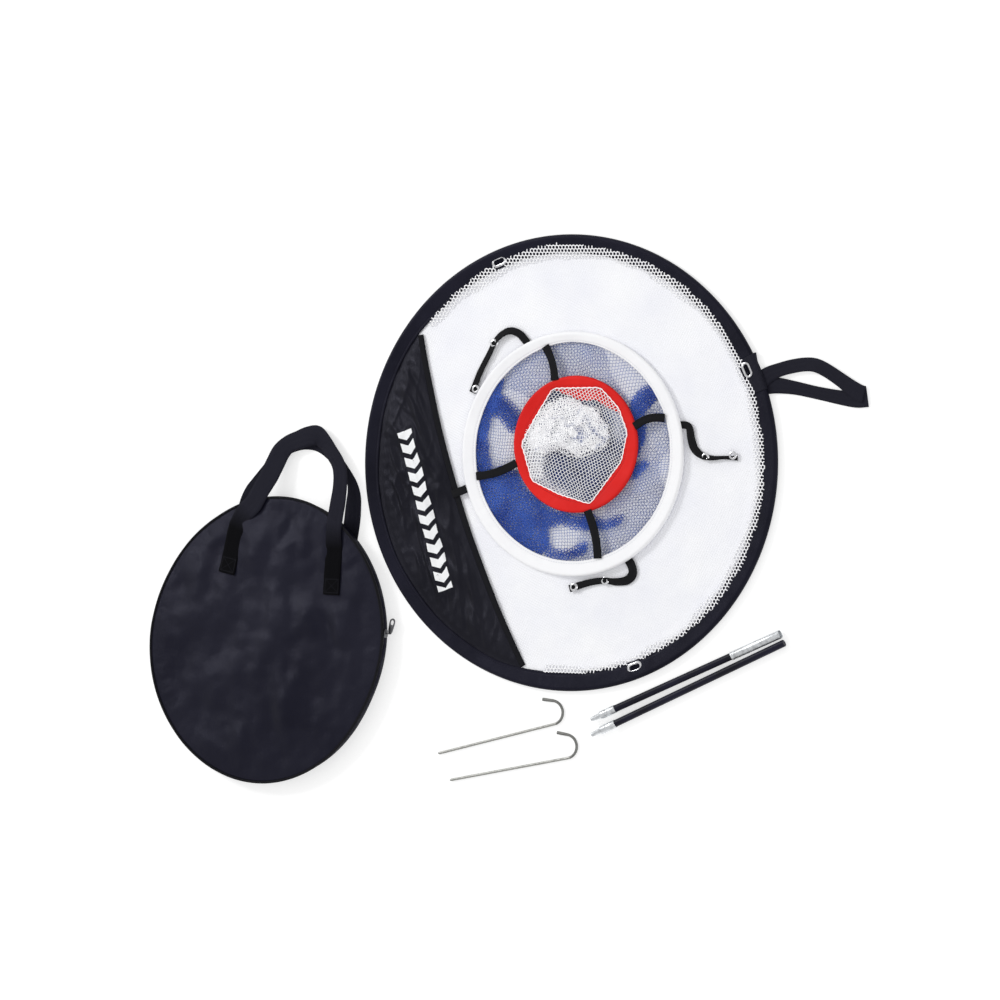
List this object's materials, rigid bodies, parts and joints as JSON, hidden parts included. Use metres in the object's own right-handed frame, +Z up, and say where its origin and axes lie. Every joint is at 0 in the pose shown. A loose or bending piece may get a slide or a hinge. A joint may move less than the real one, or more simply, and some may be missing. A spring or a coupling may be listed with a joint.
{
  "type": "golf chipping net",
  "caption": "Pop-up golf chipping net laid flat: spring hoop with mesh pocket, hung target rings, front panel, oval eyelets and carry handle, with zip bag, poles and hooked stakes.",
  "frame": {"origin": "centre of the big hoop, on the floor it lies on", "axes": "+Y from the hoop's centre to its carry handle, -Y to the front panel and the bag, +X to the poles and stakes, +Z up from the floor"},
  "size_m": [0.5568, 0.9221, 0.0208],
  "materials": {
    "nylon": "satin",
    "tape": "matte",
    "webbing": "matte",
    "white_fabric": "matte",
    "white_mesh": "matte",
    "blue_mesh": "satin",
    "red_fabric": "satin",
    "spring_steel": "satin",
    "nickel": "polished",
    "alloy": "satin",
    "fibreglass": "satin",
    "galvanised": "satin"
  },
  "bodies": {
    "hoop": {"hoop_sleeve": "nylon", "hoop_wire": "spring_steel", "hoop_wire_crimp": "spring_steel", "outer_net": "white_mesh", "front_panel": "nylon", "panel_binding": "tape", "eyelet_top": "nickel", "eyelet_right": "nickel", "eyelet_left": "nickel", "eyelet_washer_top": "nickel", "eyelet_washer_right": "nickel", "eyelet_washer_left": "nickel", "handle_tab": "webbing", "middle_ring_bottom_strap": "webbing"},
    "carry_handle": {"carry_handle": "webbing"},
    "middle_ring": {"middle_ring_sleeve": "white_fabric", "middle_ring_wire": "spring_steel", "middle_ring_wire_crimp": "spring_steel", "blue_net": "blue_mesh", "inner_strap_right": "webbing", "inner_strap_top": "webbing", "inner_strap_left": "webbing", "inner_strap_bottom": "webbing"},
    "inner_ring": {"inner_ring_sleeve": "red_fabric", "inner_ring_wire": "spring_steel", "inner_ring_wire_crimp": "spring_steel", "inner_net": "white_mesh"},
    "strap_left": {"loose_strap_left": "webbing", "ring_snap_left_mid": "nickel", "ring_snap_left_end": "nickel"},
    "strap_top": {"loose_strap_top": "webbing", "ring_snap_top_mid": "nickel", "ring_snap_top_end": "nickel"},
    "strap_right": {"loose_strap_right": "webbing", "ring_snap_right_mid": "nickel", "ring_snap_right_end": "nickel"},
    "bag": {"bag_back_panel": "nylon", "bag_lower_gusset": "nylon", "bag_zip_lower_tape": "tape", "bag_back_handle_sewn_left": "webbing", "bag_back_handle_sewn_right": "webbing"},
    "bag_lid": {"bag_zip_upper_tape": "tape", "bag_upper_gusset": "nylon", "bag_front_panel": "nylon", "bag_front_piping": "tape", "bag_front_handle_sewn_left": "webbing", "bag_front_handle_sewn_right": "webbing"},
    "bag_front_handle": {"bag_front_handle": "webbing"},
    "bag_back_handle": {"bag_back_handle": "webbing"},
    "zip_slider": {"zip_slider": "nickel"},
    "zip_pull": {"zip_pull": "nickel"},
    "pole_a": {"pole_a_rod": "fibreglass", "pole_a_tip": "alloy", "pole_a_socket": "alloy"},
    "pole_b": {"pole_b_rod": "fibreglass", "pole_b_tip": "alloy"},
    "stake_a": {"stake_a": "galvanised"},
    "stake_b": {"stake_b": "galvanised"}
  },
  "joints": [
    {"name": "handle_flip", "type": "hinge", "parent": "hoop", "child": "carry_handle", "pos_m": [-0.005, 0.2622, 0.0044], "axis": [1, 0, 0], "range_deg": [0, 160]},
    {"name": "middle_ring_swing", "type": "hinge", "parent": "hoop", "child": "middle_ring", "pos_m": [-0.013, -0.13, 0.0066], "axis": [1, 0, 0], "range_deg": [0, 110]},
    {"name": "inner_ring_lift", "type": "slide", "parent": "middle_ring", "child": "inner_ring", "axis": [0, 0, 1], "range_m": [0, 0.015], "deforming": ["inner_strap_right", "inner_strap_top", "inner_strap_left", "inner_strap_bottom"]},
    {"name": "strap_left_flip", "type": "hinge", "parent": "middle_ring", "child": "strap_left", "pos_m": [-0.1443, 0.00017, 0.0036], "axis": [-0.9332, -0.3594, 0], "range_deg": [0, 60]},
    {"name": "strap_top_flip", "type": "hinge", "parent": "middle_ring", "child": "strap_top", "pos_m": [0.00668, 0.14627, 0.0036], "axis": [0.6453, -0.7639, 0], "range_deg": [0, 60]},
    {"name": "strap_right_flip", "type": "hinge", "parent": "middle_ring", "child": "strap_right", "pos_m": [0.13153, 0.041, 0.0036], "axis": [-1, 0.0063, 0], "range_deg": [0, 60]},
    {"name": "bag_lift", "type": "slide", "parent": "hoop", "child": "bag", "axis": [0, 0, 1], "range_m": [0, 0.3]},
    {"name": "bag_open", "type": "hinge", "parent": "bag", "child": "bag_lid", "pos_m": [0.20256, -0.49, 0.0101], "axis": [0.5, 0.866, 0], "range_deg": [0, 75]},
    {"name": "bag_front_handle_flip", "type": "hinge", "parent": "bag_lid", "child": "bag_front_handle", "pos_m": [-0.04252, -0.3485, 0.0197], "axis": [0.5, 0.866, 0], "range_deg": [0, 80]},
    {"name": "bag_back_handle_flip", "type": "hinge", "parent": "bag", "child": "bag_back_handle", "pos_m": [-0.07456, -0.33, 0], "axis": [0.5, 0.866, 0], "range_deg": [0, 80]},
    {"name": "zip_slide", "type": "hinge", "parent": "bag", "child": "zip_slider", "pos_m": [0.04816, -0.40363, 0], "axis": [0, 0, 1], "range_deg": [0, 62]},
    {"name": "zip_pull_flip", "type": "hinge", "parent": "zip_slider", "child": "zip_pull", "pos_m": [0.10837, -0.26712, 0.0094], "axis": [0.5563, 0.831, 0], "range_deg": [-20, 90]},
    {"name": "pole_a_lift", "type": "slide", "parent": "hoop", "child": "pole_a", "axis": [0, 0, 1], "range_m": [0, 0.3]},
    {"name": "pole_b_lift", "type": "slide", "parent": "hoop", "child": "pole_b", "axis": [0, 0, 1], "range_m": [0, 0.3]},
    {"name": "stake_a_lift", "type": "slide", "parent": "hoop", "child": "stake_a", "axis": [0, 0, 1], "range_m": [0, 0.3]},
    {"name": "stake_b_lift", "type": "slide", "parent": "hoop", "child": "stake_b", "axis": [0, 0, 1], "range_m": [0, 0.3]}
  ],
  "couplings": [
    {"joint": "bag_back_handle_flip", "follows": "bag_front_handle_flip", "ratio": 1}
  ]
}
